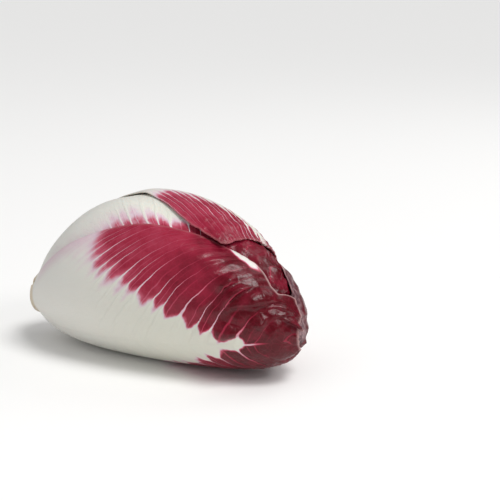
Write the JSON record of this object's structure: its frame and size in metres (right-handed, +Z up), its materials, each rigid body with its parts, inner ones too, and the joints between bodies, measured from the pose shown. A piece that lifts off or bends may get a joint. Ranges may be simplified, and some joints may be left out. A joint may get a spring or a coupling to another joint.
{
  "type": "red endive",
  "caption": "Whole head of red endive lying on its side: tightly wrapped leaves with thick white ribs and dark red blades round a short cut core.",
  "frame": {"origin": "middle of the bounding box on the surface the head rests on", "axes": "+X along the head from the cut base to the tip, +Z up, -Y towards the flank that shows the large front leaf"},
  "size_m": [0.12, 0.064, 0.0621],
  "materials": {
    "outer_leaf": "waxy leaf: thick matt white rib running into a glossy dark red blade with pale side veins",
    "inner_leaf": "waxy leaf, white rib and crumpled dark red blade, paler towards the middle of the head",
    "heart": "pale folded young leaves with pink tips",
    "core": "cut stem flesh, cream drying to beige at the rim"
  },
  "bodies": {
    "root": {"core": "core", "leaf_01_back_top": "outer_leaf", "leaf_02_front": "outer_leaf", "leaf_03_back_low": "outer_leaf", "leaf_04_top": "outer_leaf", "leaf_05": "outer_leaf", "leaf_06": "outer_leaf", "leaf_07": "outer_leaf", "leaf_08": "inner_leaf", "leaf_09": "inner_leaf", "leaf_10": "inner_leaf", "leaf_11": "inner_leaf", "leaf_12": "inner_leaf", "leaf_13": "inner_leaf", "leaf_14": "inner_leaf", "leaf_15": "inner_leaf", "leaf_16": "inner_leaf", "heart": "heart"}
  },
  "joints": []
}
